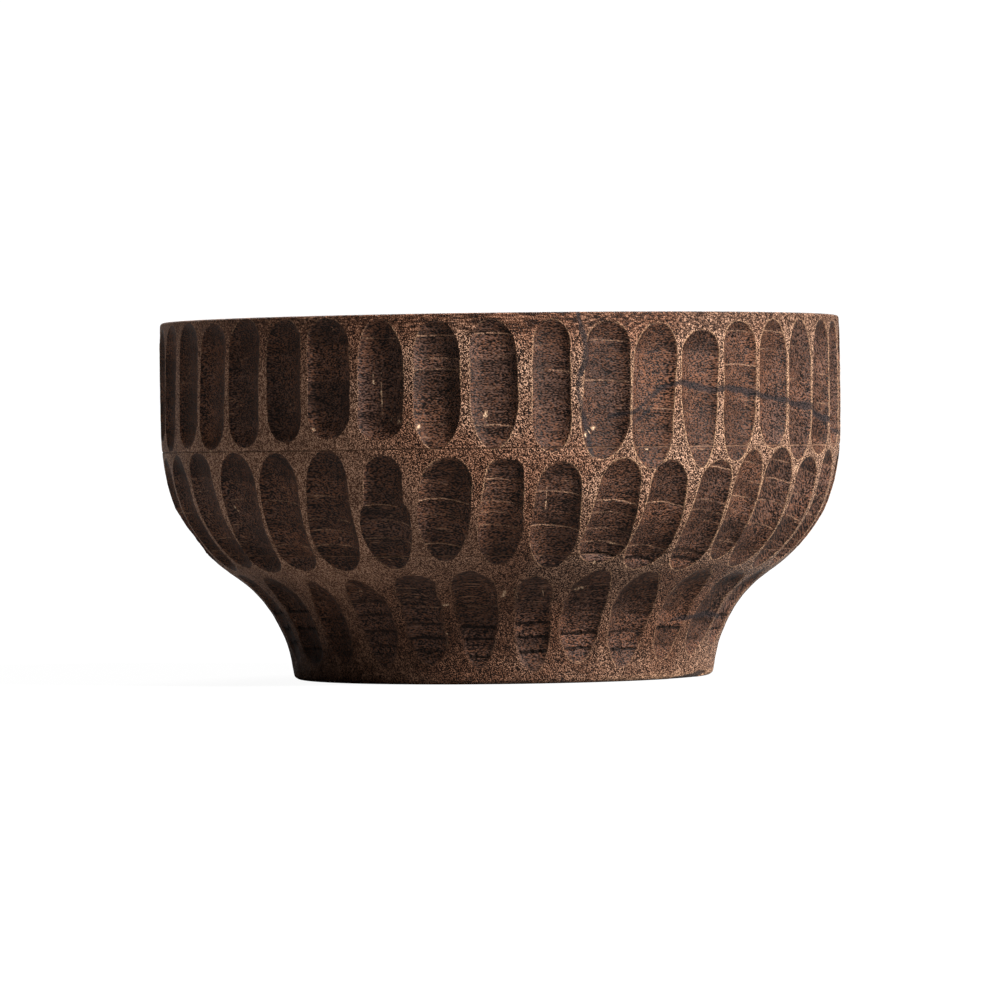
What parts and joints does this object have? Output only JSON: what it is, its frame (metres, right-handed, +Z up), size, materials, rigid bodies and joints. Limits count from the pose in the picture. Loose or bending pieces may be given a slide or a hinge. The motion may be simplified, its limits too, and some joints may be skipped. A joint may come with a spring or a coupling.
{
  "type": "carved wooden bowl",
  "caption": "Deep round wooden bowl with a straight wall, round shoulder and narrower foot, built from stacked boards and scoop carved outside in tiers.",
  "frame": {"origin": "centre of the foot's flat underside", "axes": "+Z up out of the mouth, -Y towards the front of the bowl, +X to its right"},
  "size_m": [0.2994, 0.2992, 0.157],
  "materials": {
    "rim_wood": "dark stained, gouge carved, satin, tan where the ridges are rubbed",
    "middle_wood": "dark stained, gouge carved, satin, reddish tan where the ridges are rubbed",
    "base_wood": "dark stained, gouge carved, satin",
    "glue": "cured adhesive, satin"
  },
  "bodies": {
    "root": {"rim_board": "rim_wood", "middle_board": "middle_wood", "base_board": "base_wood", "glue_line_upper": "glue", "glue_line_lower": "glue"}
  },
  "joints": []
}
